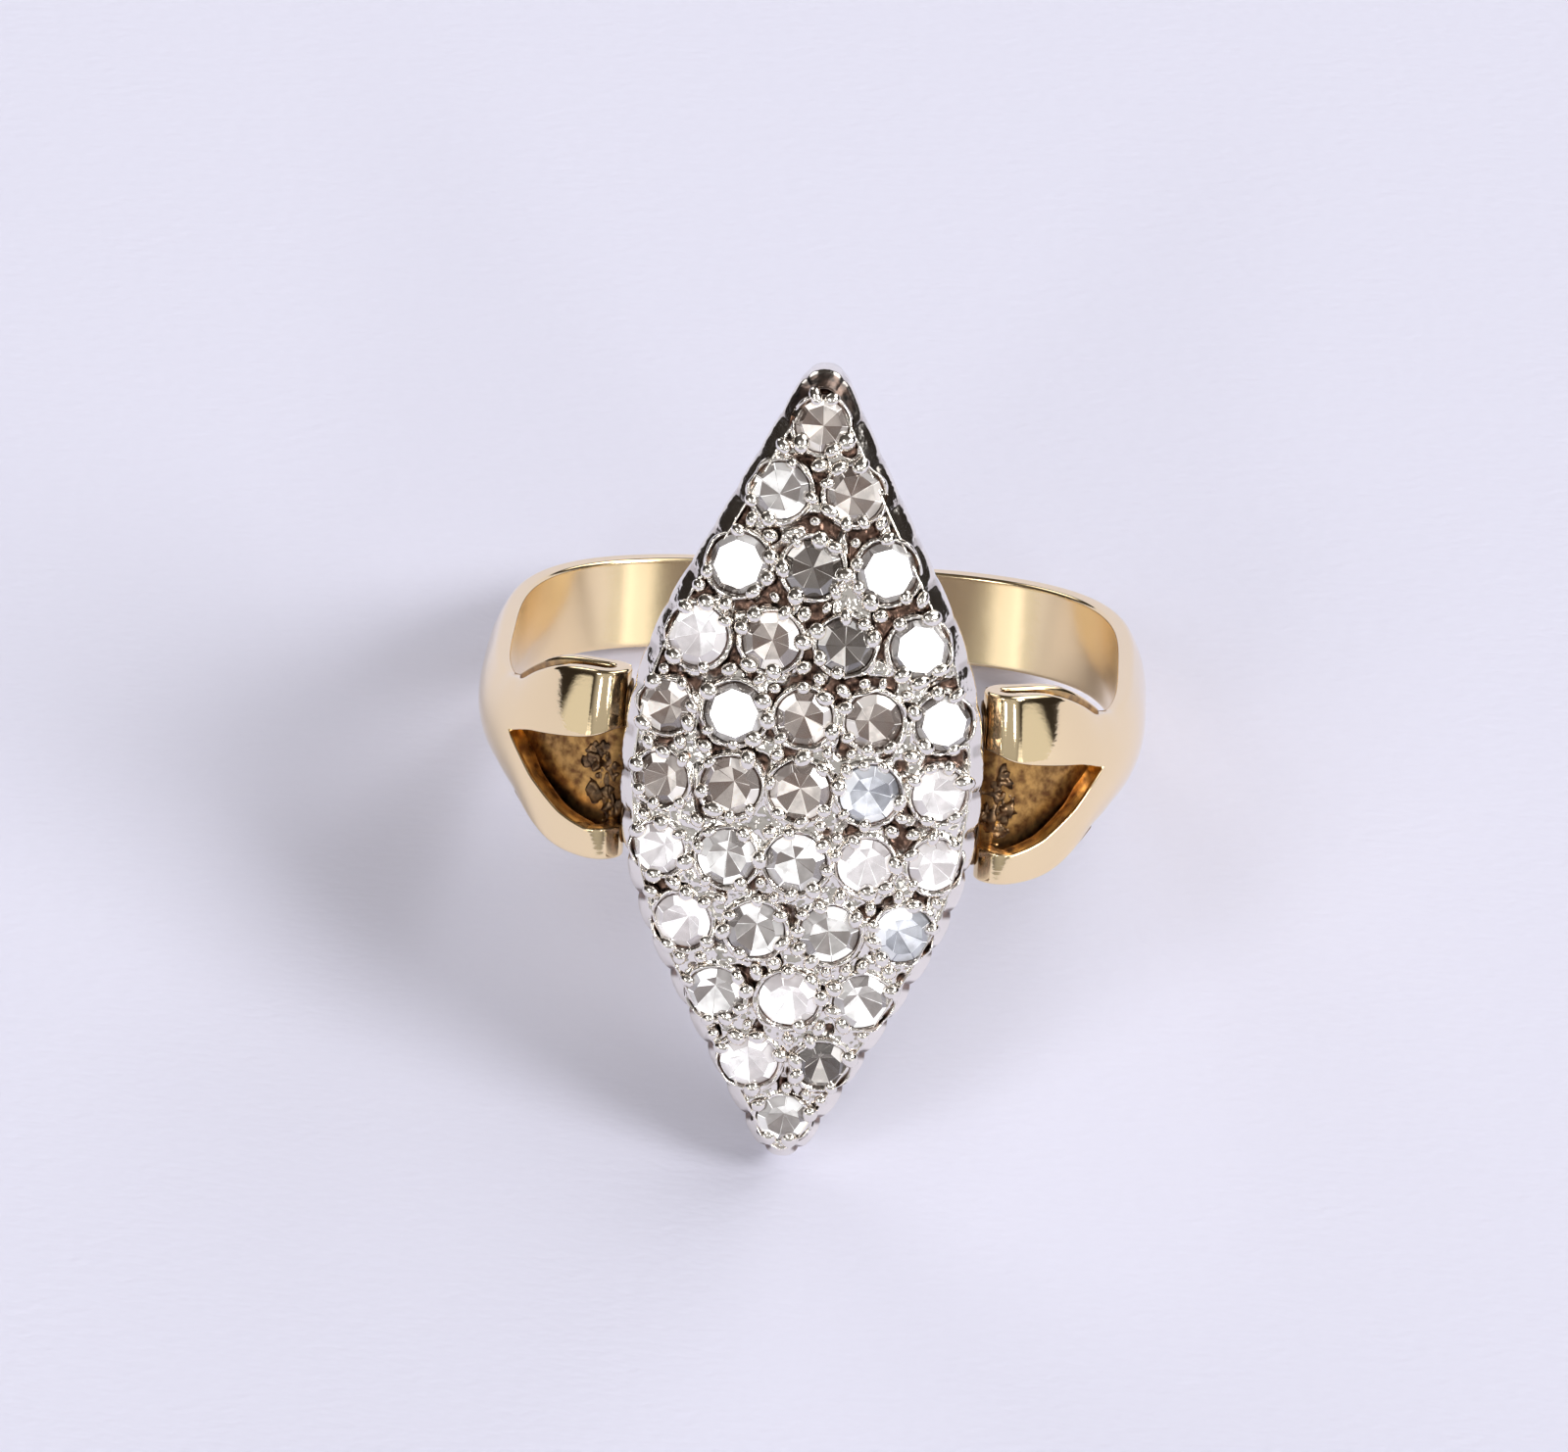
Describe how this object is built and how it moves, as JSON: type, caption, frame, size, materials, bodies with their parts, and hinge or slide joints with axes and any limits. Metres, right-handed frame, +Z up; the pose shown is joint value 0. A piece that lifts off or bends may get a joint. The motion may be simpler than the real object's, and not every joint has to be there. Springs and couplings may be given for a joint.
{
  "type": "navette cluster ring",
  "caption": "Finger ring with a long pointed cluster of small faceted stones on a split, pierced yellow shank, lying on its side.",
  "frame": {"origin": "on the surface that the ring lies on, under the middle of its box", "axes": "+Z up; X across the finger hole; the head leans back from the surface at the -Y side and the band's back rests at the +Y side"},
  "size_m": [0.0204, 0.0238, 0.0219],
  "materials": {
    "yellow_gold": "polished",
    "white_gold": "polished",
    "stone": "polished"
  },
  "bodies": {
    "root": {"shank": "yellow_gold", "head": "white_gold", "stone_01": "stone", "stone_02": "stone", "stone_03": "stone", "stone_04": "stone", "stone_05": "stone", "stone_06": "stone", "stone_07": "stone", "stone_08": "stone", "stone_09": "stone", "stone_10": "stone", "stone_11": "stone", "stone_12": "stone", "stone_13": "stone", "stone_14": "stone", "stone_15": "stone", "stone_16": "stone", "stone_17": "stone", "stone_18": "stone", "stone_19": "stone", "stone_20": "stone", "stone_21": "stone", "stone_22": "stone", "stone_23": "stone", "stone_24": "stone", "stone_25": "stone", "stone_26": "stone", "stone_27": "stone", "stone_28": "stone", "stone_29": "stone", "stone_30": "stone", "stone_31": "stone", "stone_32": "stone", "stone_33": "stone", "stone_34": "stone", "stone_35": "stone"}
  },
  "joints": []
}
